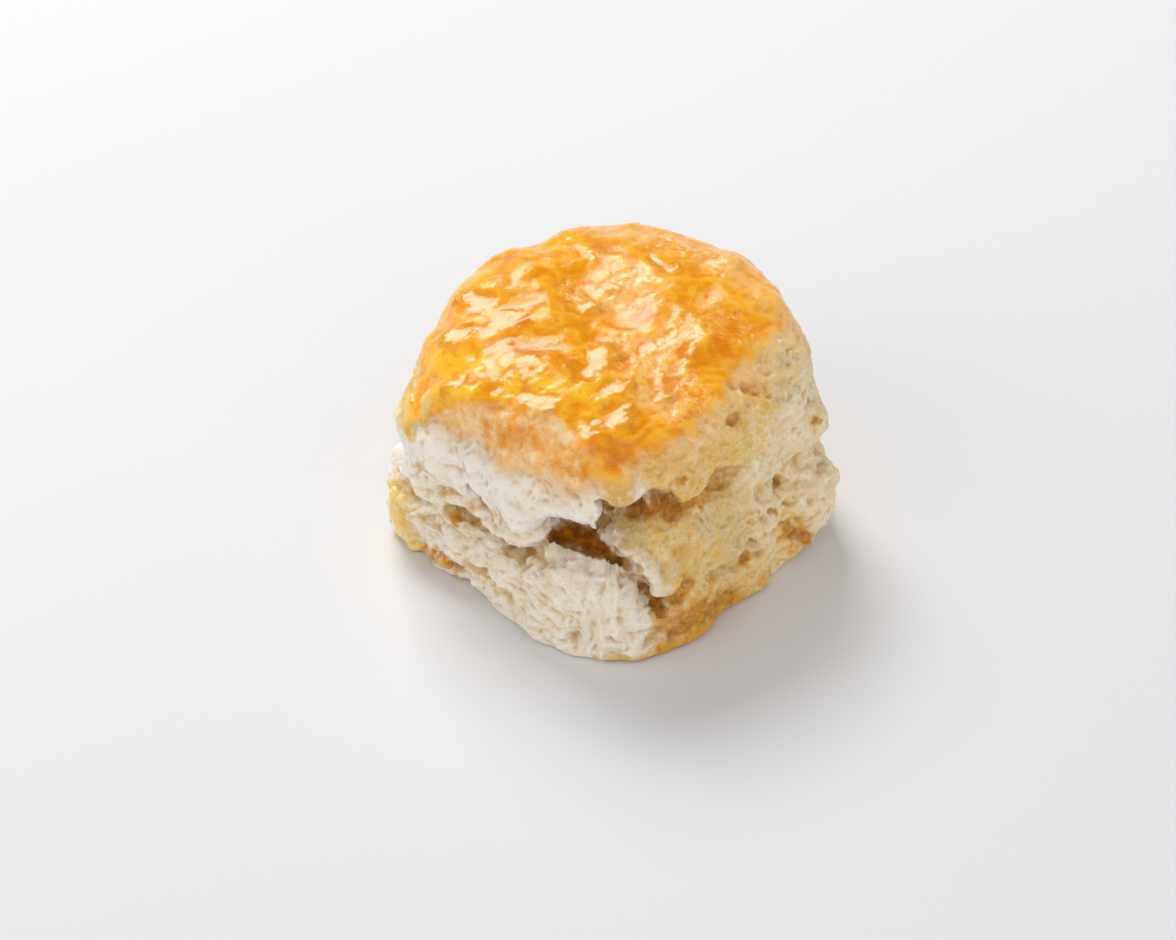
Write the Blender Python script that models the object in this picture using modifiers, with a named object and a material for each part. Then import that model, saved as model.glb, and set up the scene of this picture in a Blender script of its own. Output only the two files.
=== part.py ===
"""A buttermilk biscuit: a tall, square-cut American quick bread, baked in one piece.

The dough rose in two thick layers that pulled apart at the corner which faces between +X and -Y.
The upper layer wears the domed crust, leans out over that corner in a round nose and hangs over
the lower layer in a torn lip. The lower layer ends there in a broad block. The biscuit is one
solid: its layers, lobes, tears and crags are all relief in it.

Metres, +Z up. The origin is under the middle of the biscuit, at the level of its foot, and the
four flanks face +X, +Y, -X and -Y. The dough is shaped in millimetres and scaled once, at the end.
A place on it is given as (compass, reach, height): degrees from +X towards +Y, then the distance
from the upright axis, then the height above the foot.
"""

import math

import bmesh
import bpy
from mathutils import Matrix, Vector, noise

MM = 0.001

# Driving dimensions
FLANK = 33.0             # from the axis to a flank, at the foot
CORNER = 40.0            # from the axis to a corner, at the foot
HEIGHT = 42.5            # from the foot to the top of the dome
SPLIT = 16.5             # height at which the two layers parted
OVERLAP = 3.0            # how far the two layers run into each other
BELOW = 8.0              # dough shaped under the foot and then sliced off level
SLIDE = 3.8              # how far the upper layer slid away from the front corner
SLID_TO = 126.0          # compass direction in which it slid
LEAN = 5.0               # degrees by which its top dips towards the front corner

# Compass directions of the corners
FRONT = -48.0
RIGHT = 44.0
BACK = 135.0
LEFT = -127.0

# Squareness: 2 is round, and a higher power is squarer
SQUARE_CUT = 1.0 / (0.5 - math.log2(CORNER / FLANK))
DOMED = 2.3
UPRIGHT = 4.2

# Relief, in millimetres: (wavelength along, wavelength up, height, shift of the pattern)
SWELLS = (10.0, 9.0, 1.2, 10.0)
FLAKES = (8.0, 2.6, 1.0, 47.3)
CRAGS = (3.6, 3.0, 0.7, 95.1)

VOXEL = 1.0              # grid on which the masses of dough are fused
BEAD_PITCH = 1.4         # spacing of the beads that cut a tear
BEAD_WOBBLE = 5.0        # distance over which their size and height change
FACES = 14200            # triangles left on the dough before the foot is sliced off
DOUGH = (0.72, 0.55, 0.34, 1.0)


def place(compass, reach, height):
    """The point in space of a place on the biscuit."""
    turn = math.radians(compass)
    return Vector((reach * math.cos(turn), reach * math.sin(turn), height))


def squircle(turn, power):
    """How far the edge of a unit square with rounded corners lies from its middle."""
    return (abs(math.cos(turn)) ** power + abs(math.sin(turn)) ** power) ** (-1.0 / power)


def mass(home, name, spot, size, turn=None, plan=(2.0, 2.0), side=2.0, lean=0.0, facets=56):
    """Add one closed rounded mass of dough, centred on a place.

    size holds its half sizes outwards, along the flank and up. The first points along the compass
    direction turn, by default that of its place. plan is its squareness at its foot and its top,
    side its squareness seen from the side, and lean tips its top towards the front corner.
    """
    turn = spot[0] if turn is None else turn
    dough = bmesh.new()
    bmesh.ops.create_uvsphere(dough, u_segments=facets, v_segments=facets // 2, radius=1.0)
    for vert in dough.verts:
        flat = math.hypot(vert.co.x, vert.co.y)
        around = math.atan2(vert.co.y, vert.co.x)
        swell = (flat ** side + abs(vert.co.z) ** side) ** (-1.0 / side)
        rise = vert.co.z * swell
        power = plan[0] + (plan[1] - plan[0]) * (rise + 1.0) / 2.0
        reach = flat * swell * squircle(around, power)
        vert.co = (size[0] * reach * math.cos(around), size[1] * reach * math.sin(around), size[2] * rise)
    tipping_axis = Vector((0, 0, 1)).cross(place(FRONT, 1, 0))
    dough.transform(
        Matrix.Translation(place(*spot))
        @ Matrix.Rotation(math.radians(lean), 4, tipping_axis)
        @ Matrix.Rotation(math.radians(turn), 4, "Z")
    )
    mesh = bpy.data.meshes.new(name)
    dough.to_mesh(mesh)
    dough.free()
    home.objects.link(bpy.data.objects.new(name, mesh))


def lobe(home, name, compass, edge, height, size, side=2.0):
    """Add a mass whose outer face reaches as far from the axis as edge says."""
    mass(home, name, (compass, edge - size[0], height), size, side=side)


def tear(home, name, stops, depth, height):
    """Add the cutter of a ragged groove: a chain of uneven beads from stop to stop.

    A stop is its compass direction, how far it lies beyond a flank and how far above the split.
    """
    spots = [(compass, FLANK + beyond, SPLIT + above) for compass, beyond, above in stops]
    beads = 0
    for start, end in zip(spots, spots[1:]):
        steps = max(1, round((place(*end) - place(*start)).length / BEAD_PITCH))
        for step in range(steps):
            compass, reach, level = (a + (b - a) * step / steps for a, b in zip(start, end))
            wobble = noise.noise(place(compass, reach / BEAD_WOBBLE, level / BEAD_WOBBLE + depth))
            size = (depth * (1 + 0.35 * wobble), BEAD_PITCH * 1.6, height * (0.5 + 0.25 * wobble))
            mass(home, f"{name} {beads}", (compass, reach, level + wobble), size, facets=10)
            beads += 1


def lower_layer(home):
    """The square layer that the biscuit stands on, with its corners and the block in front."""
    half = (SPLIT + OVERLAP + BELOW) / 2
    mass(home, "lower layer", (0, 0, half - BELOW), (FLANK, FLANK, half),
         plan=(SQUARE_CUT, SQUARE_CUT), side=4.0)
    lobe(home, "front block", FRONT, CORNER, 5, (13.6, 15, 15), side=2.8)
    lobe(home, "front block, right", FRONT + 21, CORNER - 2, 3, (11, 11, 11), side=2.8)
    lobe(home, "front block, left", FRONT - 13, CORNER - 2, 3, (11, 9, 11), side=2.8)
    lobe(home, "left corner", LEFT, CORNER, 8, (13.0, 10, 10.5), side=2.6)
    lobe(home, "right corner", RIGHT, CORNER + 0.8, 7.5, (13.3, 12, 8.2), side=2.4)
    lobe(home, "back corner", BACK, CORNER - 1.5, 7, (12.5, 13, 9.5), side=2.4)


def upper_layer(home):
    """The domed layer: it slid back and dips to the front, with a nose, lobes and shoulders."""
    half = (HEIGHT - SPLIT + OVERLAP) / 2
    mass(home, "upper layer", (SLID_TO, SLIDE, HEIGHT - half), (FLANK - 1.8, FLANK - 1.8, half), turn=0,
         plan=(SQUARE_CUT, DOMED), side=UPRIGHT, lean=LEAN)
    lobe(home, "nose", FRONT - 4, FLANK - 2, SPLIT + 15, (12.5, 15, 7.5))
    lobe(home, "left lobe", FRONT - 32, FLANK - 1.5, SPLIT + 6, (14, 12, 9))
    lobe(home, "left lobe, rear", LEFT + 21, FLANK, SPLIT + 6.5, (13, 14, 9.5))
    lobe(home, "left shoulder", LEFT, CORNER - 1.2, SPLIT + 8, (12.8, 12, 9.5))
    lobe(home, "right shoulder", RIGHT + 4, CORNER - 0.7, SPLIT + 6.5, (12.3, 10, 6.0))
    lobe(home, "right lobe", FRONT + 12, FLANK, SPLIT + 1.5, (12.5, 11, 5.5))
    lobe(home, "right lobe, rear", FRONT + 40, FLANK - 2, SPLIT + 1.5, (11, 15, 6.5))
    lobe(home, "back shoulder", BACK, CORNER - 3, SPLIT + 9.5, (12, 15, 10))
    lobe(home, "back right shoulder", BACK - 47, FLANK + 3, HEIGHT - 5.5, (14.5, 17, 6.5), side=2.4)
    lobe(home, "back left shoulder", BACK + 37, FLANK + 1.5, HEIGHT - 5.5, (14, 17, 6.5), side=2.4)


def all_tears(home):
    """The cavity at the front corner, and the grooves along which the layers pulled apart."""
    mass(home, "cavity", (FRONT - 9, FLANK - 3, SPLIT + 3.3), (11, 6.5, 3.2))
    nose_recess = [(FRONT + 3, 2, 7), (FRONT + 13, 2.5, 7.5), (FRONT + 28, 1.5, 8), (FRONT + 52, 0, 9)]
    tear(home, "under the nose", nose_recess, depth=8, height=7.5)
    block_crack = [(FRONT - 2, 0, 2.5), (FRONT + 6, 2, 1.5), (FRONT + 11, 4, -1.5), (FRONT + 14, 6, -7.5)]
    tear(home, "beside the block", block_crack, depth=5, height=2.2)
    tear(home, "pocket", [(FRONT + 17, 5, -5.5), (FRONT + 19, 5, -8.5)], depth=4.5, height=4)
    lobe_lip = [(LEFT + 2, 7, -3.5), (LEFT + 26, 1, -3), (LEFT + 39, 0.5, -3.5), (LEFT + 50, 1, -2.5)]
    tear(home, "under the left lobe", lobe_lip + [(FRONT - 18, 1, 0.5)], depth=4, height=3.2)
    right_notch = [(RIGHT - 16, 3, -0.5), (RIGHT, 7, -0.5), (RIGHT + 16, 5, 0)]
    tear(home, "right notch", right_notch, depth=4, height=3)
    back_seam = [(BACK - 65, 4, 0.5), (BACK - 45, 2.5, 0.5), (BACK, 6.5, 0.5), (BACK + 45, 2.5, -0.5)]
    tear(home, "back seam", back_seam + [(BACK + 80, 5, -1.5)], depth=3.5, height=2.5)
    tear(home, "foot notch", [(LEFT + 10, 4, 1 - SPLIT), (LEFT + 21, 3, 2 - SPLIT)], depth=4, height=4)
    crease = [(RIGHT - 44, 0, 0.5), (RIGHT - 40, 0, -4.5), (RIGHT - 36, 1, -9.5)]
    tear(home, "right crease", crease, depth=2.6, height=2.5)
    mass(home, "right heel", (RIGHT - 11, CORNER + 1, -1), (7.5, 10, 5))
    mass(home, "left heel", (LEFT + 41, CORNER + 1.5, -2), (9.5, 16, 7))


def relief(point, normal):
    """Height of the relief: round swells all over, with flat-lying flakes and crags on the flanks."""
    def wave(along, up, height, shift):
        return height * noise.noise(Vector((point.x / along, point.y / along, point.z / up + shift)))

    flank = 1.0 - min(1.0, max(0.0, 1.4 * normal.z))
    return wave(*SWELLS) + flank * (wave(*FLAKES) + wave(*CRAGS))


def even_skin(item, name):
    """Give an object one even skin, which also runs its overlapping masses together."""
    skin = item.modifiers.new(name, "REMESH")
    skin.mode = "VOXEL"
    skin.voxel_size = VOXEL


def fuse(masses, tears):
    """Run the masses together into one biscuit and open the tears in it."""
    biscuit = masses[0]
    with bpy.context.temp_override(active_object=biscuit, selected_editable_objects=masses):
        bpy.ops.object.join()
    biscuit.name = "biscuit"
    even_skin(biscuit, "run together")
    cut = biscuit.modifiers.new("tear", "BOOLEAN")
    cut.operation = "DIFFERENCE"
    cut.operand_type = "COLLECTION"
    cut.collection = tears
    even_skin(biscuit, "even out")
    soften = biscuit.modifiers.new("soften", "SMOOTH")
    soften.iterations = 2
    apply_modifiers(biscuit)
    return biscuit


def apply_modifiers(item):
    """Turn an object's modifiers into its mesh."""
    bpy.context.view_layer.update()
    mesh = bpy.data.meshes.new_from_object(item.evaluated_get(bpy.context.evaluated_depsgraph_get()))
    item.modifiers.clear()
    item.data = mesh


def add_relief(item):
    """Push the skin in and out along its normals."""
    dough = bmesh.new()
    dough.from_mesh(item.data)
    dough.normal_update()
    moves = [(vert, vert.normal * relief(vert.co, vert.normal)) for vert in dough.verts]
    for vert, move in moves:
        vert.co += move
    bmesh.ops.triangulate(dough, faces=dough.faces)
    dough.to_mesh(item.data)
    dough.free()


def thin_out(item):
    """Leave as many triangles as the whole biscuit may have."""
    thin = item.modifiers.new("thin out", "DECIMATE")
    thin.ratio = FACES / len(item.data.polygons)
    apply_modifiers(item)


def slice_foot(item):
    """Slice the biscuit off level at the foot, centre it on the origin and scale it to metres."""
    dough = bmesh.new()
    dough.from_mesh(item.data)
    geometry = dough.verts[:] + dough.edges[:] + dough.faces[:]
    foot = {"plane_co": (0, 0, 0), "plane_no": (0, 0, -1), "clear_outer": True}
    cut = bmesh.ops.bisect_plane(dough, geom=geometry, **foot)["geom_cut"]
    bmesh.ops.holes_fill(dough, edges=[edge for edge in cut if isinstance(edge, bmesh.types.BMEdge)])
    spans = [[vert.co[axis] for vert in dough.verts] for axis in (0, 1)]
    middle = Vector([(min(span) + max(span)) / 2 for span in spans] + [0])
    bmesh.ops.translate(dough, vec=-middle, verts=dough.verts)
    bmesh.ops.scale(dough, vec=(MM, MM, MM), verts=dough.verts)
    dough.to_mesh(item.data)
    dough.free()
    return middle * MM


def baked_dough():
    material = bpy.data.materials.new("baked dough")
    material.use_nodes = True
    shader = material.node_tree.nodes["Principled BSDF"]
    shader.inputs["Base Color"].default_value = DOUGH
    shader.inputs["Roughness"].default_value = 0.6
    shader.inputs["Metallic"].default_value = 0.0
    return material


def main():
    for thing in list(bpy.data.objects):
        bpy.data.objects.remove(thing, do_unlink=True)
    home = bpy.data.collections.new("buttermilk_biscuit")
    tears = bpy.data.collections.new("tears")
    bpy.context.scene.collection.children.link(home)
    bpy.context.scene.collection.children.link(tears)

    lower_layer(home)
    upper_layer(home)
    all_tears(tears)
    biscuit = fuse(list(home.objects), tears)
    for cutter in list(tears.objects):
        bpy.data.objects.remove(cutter, do_unlink=True)
    add_relief(biscuit)
    thin_out(biscuit)
    moved = slice_foot(biscuit)
    biscuit.data.materials.clear()
    biscuit.data.materials.append(baked_dough())
    biscuit.data.shade_smooth()
    print("triangles:", sum(len(face.vertices) - 2 for face in biscuit.data.polygons))
    print("moved to centre it, in metres:", moved)


main()
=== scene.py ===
# %% [markdown]
# # A buttermilk biscuit, brushed with melted butter
#
# The real thing is one tall square of quick bread. Its top baked to a golden crust, its flanks
# stayed pale and floury, and it tore open at the front corner as its two layers rose. Melted
# butter was poured over it: it lies in the hollows of the crust, ran down at some places and
# soaked into the crumb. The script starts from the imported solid, which has the true size and the
# main forms, and adds what an oven and a spoon of butter add.
#
# All lengths below are in millimetres, as a baker would measure them. Blender counts in metres,
# so MM turns one into the other.

# %% Load the frame
import math

import bpy
import numpy as np
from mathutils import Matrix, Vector, noise
from mathutils.bvhtree import BVHTree


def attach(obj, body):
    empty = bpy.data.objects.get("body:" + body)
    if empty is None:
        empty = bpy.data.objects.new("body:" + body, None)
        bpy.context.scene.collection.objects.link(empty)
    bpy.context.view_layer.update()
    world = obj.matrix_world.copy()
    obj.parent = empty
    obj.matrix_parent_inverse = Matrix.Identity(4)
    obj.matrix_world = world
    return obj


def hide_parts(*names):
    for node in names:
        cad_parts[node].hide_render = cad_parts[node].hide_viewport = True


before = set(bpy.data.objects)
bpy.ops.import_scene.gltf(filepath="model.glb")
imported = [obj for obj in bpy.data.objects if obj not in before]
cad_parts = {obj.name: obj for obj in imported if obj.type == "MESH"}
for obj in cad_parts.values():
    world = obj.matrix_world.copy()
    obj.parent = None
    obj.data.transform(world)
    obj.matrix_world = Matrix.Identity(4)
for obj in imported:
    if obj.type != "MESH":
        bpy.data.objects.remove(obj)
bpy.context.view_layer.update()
MM = 0.001

# %% [markdown]
# ## The camera
#
# It stands in front of the corner that tore open and looks down on it at 39 degrees, through a
# short telephoto lens. Everything that was placed on the picture is given below as a pixel
# of a 1176 x 940 picture, and a ray through that pixel finds its place on the skin.

# %% Camera
PICTURE = (1176, 940)
CAMERA_AT = (0.3188, -0.3258, 0.3837)
CAMERA_TURN = 45.0
CAMERA_DIP = 39.29
LENS = 99.2
SENSOR = 36.0

scene = bpy.context.scene
lens = bpy.data.cameras.new("camera")
lens.lens = LENS
lens.sensor_width = SENSOR
lens.clip_start = 0.01
camera = bpy.data.objects.new("camera", lens)
scene.collection.objects.link(camera)
camera.location = CAMERA_AT
camera.rotation_euler = (math.radians(90 - CAMERA_DIP), 0, math.radians(CAMERA_TURN))
scene.camera = camera
bpy.context.view_layer.update()


def sight_line(pixel):
    """Direction in which the camera looks through a pixel of its picture."""
    focal = LENS / SENSOR * PICTURE[0]
    aim = Vector((pixel[0] - PICTURE[0] / 2, PICTURE[1] / 2 - pixel[1], -focal))
    return (camera.matrix_world.to_3x3() @ aim).normalized()


# %% [markdown]
# ## Lights
#
# The key is a large soft window behind the biscuit on its left. It draws the bright patches on
# the wet crust. A point lamp would show there as a dot, so every lamp is a wide panel. A weak
# fill from the front left keeps the torn side open, and a faint white card on the right lifts the
# darker flank, as a photographer's card does.

# %% Lights
def compass_point(compass, reach, height):
    """A point given by its compass direction from +X towards +Y, its distance and its height."""
    turn = math.radians(compass)
    return Vector((reach * math.cos(turn), reach * math.sin(turn), height))


def add_panel(name, compass, rise, distance, size, watts, colour):
    """Add a square light panel that faces the biscuit."""
    panel = bpy.data.lights.new(name, "AREA")
    panel.shape = "RECTANGLE"
    panel.size, panel.size_y = size
    panel.energy = watts
    panel.color = colour
    item = bpy.data.objects.new(name, panel)
    scene.collection.objects.link(item)
    lift = math.radians(rise)
    item.location = compass_point(compass, distance * math.cos(lift), distance * math.sin(lift))
    item.rotation_euler = (-item.location).to_track_quat("-Z", "Y").to_euler()


WINDOW = {"compass": 158, "rise": 44, "distance": 1.6}
add_panel("window", size=(0.80, 0.66), watts=19.5, colour=(1.0, 0.99, 0.975), **WINDOW)
add_panel("fill", compass=-105, rise=35, distance=1.8, size=(1.6, 1.2), watts=3.5,
          colour=(1.0, 0.99, 0.98))
add_panel("white card", compass=-15, rise=14, distance=1.2, size=(1.0, 0.5), watts=1.5,
          colour=(1.0, 0.98, 0.94))
scene.view_settings.view_transform = "Standard"


# %% [markdown]
# ## Two helpers for materials
#
# Colours are written as sRGB hex values, as a colour picker shows them, and turned to the linear
# values that Blender's sockets want. One function adds a node, sets it and links it. It takes a
# socket by its name, or by its number after an i where several sockets share a name.

# %% Material helpers
def linear(hex_colour):
    """The linear colour of an sRGB hex value such as #F2A838."""
    parts = [int(hex_colour[at:at + 2], 16) / 255 for at in (1, 3, 5)]
    light = [((part + 0.055) / 1.055) ** 2.4 if part > 0.04045 else part / 12.92 for part in parts]
    return tuple(light) + (1.0,)


def add_node(tree, kind, settings=None, **links):
    """Add a node, set its properties, and fill its sockets from values or from other sockets."""
    node = tree.nodes.new(kind)
    for name, value in (settings or {}).items():
        setattr(node, name, value)
    for name, value in links.items():
        numbered = name[0] == "i" and name[1:].isdigit()
        socket = node.inputs[int(name[1:]) if numbered else name]
        if isinstance(value, bpy.types.NodeSocket):
            tree.links.new(value, socket)
        else:
            socket.default_value = value
    return node


def new_material(name):
    """A material with an empty tree but for its Principled shader: (material, tree, shader)."""
    material = bpy.data.materials.new(name)
    material.use_nodes = True
    return material, material.node_tree, material.node_tree.nodes["Principled BSDF"]


# %% [markdown]
# ## Sky and floor
#
# The sky is an even pale dome, like the light walls of a kitchen. Towards one side, behind the
# biscuit, it darkens: that is what most of the wet crust mirrors, and with a bright sky there the
# orange would drown in a white veil. The floor is a plain matt sheet, which takes the soft shadow
# and nothing else.

# %% Sky and floor
SKY_FRONT = 0.78
SKY_BEHIND = 0.08
BEHIND = compass_point(140, 0.62, 0.78)

sky = bpy.data.worlds.new("pale sky")
scene.world = sky
sky.use_nodes = True
tree = sky.node_tree
towards = add_node(tree, "ShaderNodeTexCoord").outputs["Generated"]
behind = add_node(tree, "ShaderNodeVectorMath", {"operation": "DOT_PRODUCT"}, i0=towards, i1=BEHIND)
strength = add_node(tree, "ShaderNodeMapRange", {"interpolation_type": "SMOOTHSTEP"},
                    Value=behind.outputs["Value"],
                    **{"From Min": 0.45, "From Max": 0.88, "To Min": SKY_FRONT, "To Max": SKY_BEHIND})
tree.links.new(strength.outputs["Result"], tree.nodes["Background"].inputs["Strength"])
tree.nodes["Background"].inputs["Color"].default_value = (1.0, 1.0, 1.0, 1.0)

floor_paint, tree, shader = new_material("matt white floor")
shader.inputs["Base Color"].default_value = linear("#E6E6E8")
shader.inputs["Roughness"].default_value = 0.7
bpy.ops.object.select_all(action="DESELECT")
bpy.ops.mesh.primitive_plane_add(size=6.0, location=(0, 0, -0.0002))
floor = bpy.context.object
floor.name = "floor"
floor.data.materials.append(floor_paint)


# %% [markdown]
# ## Helpers for sculpting
#
# The skin is shaped as a sculptor would shape it, but by rules. Its points are read into an
# array in millimetres, moved, and written back. A brush is a path of places given on the
# picture, each with a radius, and noise makes its edge ragged.

# %% Read and write the skin
def only(item):
    """Select one object and nothing else, and make it the active one."""
    bpy.ops.object.select_all(action="DESELECT")
    item.select_set(True)
    bpy.context.view_layer.objects.active = item


def apply_modifier(item, kind, **settings):
    """Give an object one modifier and apply it."""
    only(item)
    modifier = item.modifiers.new(kind.lower(), kind)
    for name, value in settings.items():
        setattr(modifier, name, value)
    bpy.ops.object.modifier_apply(modifier=modifier.name)


def read_skin(item):
    """The points and the normals of an object's mesh, as arrays in millimetres."""
    points = np.empty(len(item.data.vertices) * 3)
    normals = np.empty(len(item.data.vertices) * 3)
    item.data.vertices.foreach_get("co", points)
    item.data.vertices.foreach_get("normal", normals)
    return points.reshape(-1, 3) / MM, normals.reshape(-1, 3)


def write_skin(item, points):
    """Move an object's points to those of an array in millimetres."""
    item.data.vertices.foreach_set("co", (points * MM).ravel())
    item.data.update()


# %% [markdown]
# ## Soft steps and noise
#
# Dough has no straight edge and no two lumps alike. One function fades a value in or out. The
# other is smooth noise that can be stretched along a direction, since a wrinkle is longer than it
# is wide. The noise is fixed: the same place always gets the same height.

# %% Soft steps and noise
def ease(value, low, high):
    """0 below low, 1 above high, and a smooth rise between them."""
    part = np.clip((value - low) / (high - low), 0.0, 1.0)
    return part * part * (3.0 - 2.0 * part)


NOISE_GAIN = 1.7


def waves(points, long, wide=None, tall=None, shift=0.0, turn=0.0):
    """Soft noise from -1 to 1, with its own size along a compass direction, across it and up."""
    angle = math.radians(turn)
    along = points[:, 0] * math.cos(angle) + points[:, 1] * math.sin(angle)
    across = points[:, 1] * math.cos(angle) - points[:, 0] * math.sin(angle)
    up = points[:, 2] / (tall or long) + shift
    grid = np.stack([along / long, across / (wide or long), up], axis=1)
    heights = [noise.noise(spot) for spot in grid.tolist()]
    return NOISE_GAIN * np.array(heights, dtype=float)


# %% [markdown]
# ## Brushes
#
# A search tree finds where the camera's ray through a pixel meets the skin. The distance to the
# line through such places gives a stroke, and a stroke can press the skin in, raise it or paint
# it. A stroke in space also reaches round a corner, as a spatula does, where a flat map tears.

# %% Brushes
class Skin:
    """What the camera's rays meet: a search tree over an object's faces."""

    def __init__(self, item):
        self.tree = BVHTree.FromObject(item, bpy.context.evaluated_depsgraph_get())

    def seen(self, pixel):
        """The place in millimetres that the camera sees at a pixel, or the nearest to its ray."""
        line = sight_line(pixel)
        hit = self.tree.ray_cast(camera.location, line)[0]
        beside = camera.location + line * camera.location.length
        while hit is None:
            near = self.tree.find_nearest(beside)[0]
            step = line * (near - beside).dot(line)
            beside += step
            if step.length < 0.1 * MM:
                hit = near
        return np.array(hit) / MM


def gap_to(points, start, end):
    """Each point's distance from the line between two places, and how far along the line it lies."""
    run = end - start
    part = np.clip((points - start) @ run / max(run @ run, 1e-9), 0.0, 1.0)
    return np.linalg.norm(points - start - part[:, None] * run, axis=1), part


def stroke(points, skin, path, ragged=0.0, shift=0.0):
    """How near each point lies to a brush stroke: 1 on its line, and 0 from its radius on.

    path is a list of (pixel across, pixel down, radius in millimetres). The noise that makes the
    edge ragged is worked out only for the points that it can reach.
    """
    stops = [(skin.seen(stop[:2]), stop[2]) for stop in path]
    lines = list(zip(stops, stops[1:] or stops))
    reach = max(radius for _, radius in stops) + 2.6 * ragged
    close = np.min([gap_to(points, start, end)[0] for (start, _), (end, _) in lines], axis=0) < reach
    spots = points[close]
    rough = 0.0
    if ragged:
        rough = ragged * (waves(spots, 2.4, shift=shift) + 0.5 * waves(spots, 0.9, shift=shift))
    nearness = np.zeros(len(points))
    for (start, start_radius), (end, end_radius) in lines:
        gap, part = gap_to(spots, start, end)
        radius = start_radius + (end_radius - start_radius) * part
        nearness[close] = np.maximum(nearness[close], 1.0 - (gap + rough) / radius)
    return nearness


def carve(points, normals, skin, path, depth, ragged=0.4, lift=0.0, sharp=0.5):
    """Press a stroke into the skin, along its own mean normal and, with lift, up behind its lip."""
    nearness = stroke(points, skin, path, ragged)
    press = ease(nearness, 0.0, sharp)
    inside = nearness > 0.2
    if not inside.any():
        return points
    inward = -normals[inside].mean(axis=0)
    inward /= np.linalg.norm(inward)
    return points + press[:, None] * (depth * inward + np.array((0.0, 0.0, lift)))


# %% [markdown]
# ## The dough: a copy with an even skin
#
# The real piece is one lump of baked dough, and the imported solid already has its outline, its two
# layers and the cavity between them. A cube shaped by hand could not keep that size as truly. The
# copy is merged, because a node's mesh is loose triangles. A voxel remesh gives it one closed,
# even skin, and smoothing takes its facets away.

# %% Copy the solid
COARSE = 0.55 * MM
VOXEL = 0.32 * MM

dough = bpy.data.objects.new("baked_dough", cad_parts["biscuit"].data.copy())
scene.collection.objects.link(dough)
only(dough)
bpy.ops.object.mode_set(mode="EDIT")
bpy.ops.mesh.select_all(action="SELECT")
bpy.ops.mesh.remove_doubles(threshold=0.01 * MM)
bpy.ops.object.mode_set(mode="OBJECT")
apply_modifier(dough, "REMESH", mode="VOXEL", voxel_size=COARSE)
apply_modifier(dough, "SMOOTH", factor=0.5, iterations=10)
print("even skin:", len(dough.data.vertices), "points")

# %% [markdown]
# ## Torn places
#
# Where the layers pulled apart, the dough tore: a lip curls out and a hollow lies under it. These
# are too small for the solid. Each is one brush stroke: pixels of the picture with a radius in
# millimetres. A tear below is a stroke with its depth and with how far it also lifts the skin,
# which makes an overhang. A negative depth fills. Lips come first, then hollows and cracks.

# %% Strokes for the torn places
NOSE_LIP = [(603, 505, 1.2), (612, 513, 1.8), (628, 514, 2.0), (644, 506, 2.2), (662, 503, 2.4),
            (676, 505, 1.6)]
LOBE_LIP = [(474, 529, 1.4), (486, 537, 1.4), (498, 543, 1.4), (514, 551, 1.4), (530, 552, 1.3),
            (544, 543, 1.4)]
DARK_HOLLOW = [(447, 507, 1.0), (460, 514, 1.7), (470, 521, 1.7), (480, 529, 1.2)]
SLOT = [(441, 491, 0.9), (450, 491, 1.1), (460, 497, 1.0)]
LOBE_CREASE = [(466, 484, 0.6), (472, 494, 1.0), (482, 508, 1.1), (488, 521, 0.9)]
TAN_POCKET = [(427, 519, 1.3), (436, 521, 1.7)]
LEFT_FOOT = [(418, 549, 1.8), (434, 554, 2.6), (449, 560, 2.0)]
LIP_END = [(604, 514, 2.2), (604, 532, 2.2)]
BLOCK_CRACK = [(600, 545, 1.2), (612, 555, 1.3), (624, 562, 1.3), (634, 568, 1.2)]
BLOCK_SIDE = [(634, 570, 1.0), (643, 584, 1.3), (650, 598, 1.4), (654, 612, 1.0)]
BROWN_POCKET = [(654, 592, 1.8), (658, 601, 2.2), (656, 611, 1.4)]
CREASE = [(752, 541, 0.9), (747, 552, 1.3), (742, 562, 1.5), (728, 568, 0.9), (709, 580, 0.8)]
CAVITY_LIP = [(546, 539, 0.9), (560, 534, 1.2), (574, 532, 1.5), (588, 534, 1.6), (598, 543, 1.5),
              (610, 554, 1.2)]
CAVITY_FLOOR = [(562, 540, 1.2), (576, 543, 1.8), (590, 546, 2.0), (602, 553, 1.4), (622, 562, 0.9)]
BAND = [(676, 512, 2.2), (700, 498, 2.4), (722, 480, 2.0), (735, 470, 1.4)]
BLOCK_GROOVES = [[(594, 556, 1.4), (597, 574, 1.6), (600, 592, 0.9)],
                 [(622, 572, 0.8), (617, 600, 1.0), (619, 622, 0.7)]]
TAN_PITS = [[(456, 578, 0.9), (470, 589, 1.2)], [(496, 585, 1.0), (510, 598, 1.2)],
            [(468, 563, 1.0), (490, 577, 1.3)], [(508, 554, 1.0), (529, 567, 1.3)],
            [(536, 554, 1.0), (553, 567, 1.1)], [(683, 479, 1.0)], [(687, 503, 1.0)],
            [(774, 478, 1.1), (779, 484, 0.9)], [(754, 520, 0.8)], [(732, 421, 1.0)],
            [(813, 420, 1.2)], [(747, 388, 1.1), (757, 392, 0.9)], [(731, 384, 1.0)], [(771, 512, 0.8)]]
TEARS = (
    (NOSE_LIP, 2.8, 0.8), (LOBE_LIP, 2.2, 0.4), (DARK_HOLLOW, 3.2, 0.5), (SLOT, 1.3, 0.3),
    (LOBE_CREASE, 1.7, 0.0), (LIP_END, -1.3, 0.0), (TAN_POCKET, 0.9, 0.0), (LEFT_FOOT, -1.4, 0.0),
    (BLOCK_CRACK, 2.4, 0.3), (BLOCK_SIDE, 2.0, 0.0), (BROWN_POCKET, 2.2, 0.3), (CREASE, 1.3, 0.2),
    (CAVITY_LIP, 2.2, 0.6), (CAVITY_FLOOR, 2.0, -0.2), (BAND, 0.5, 0.1),
)
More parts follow.
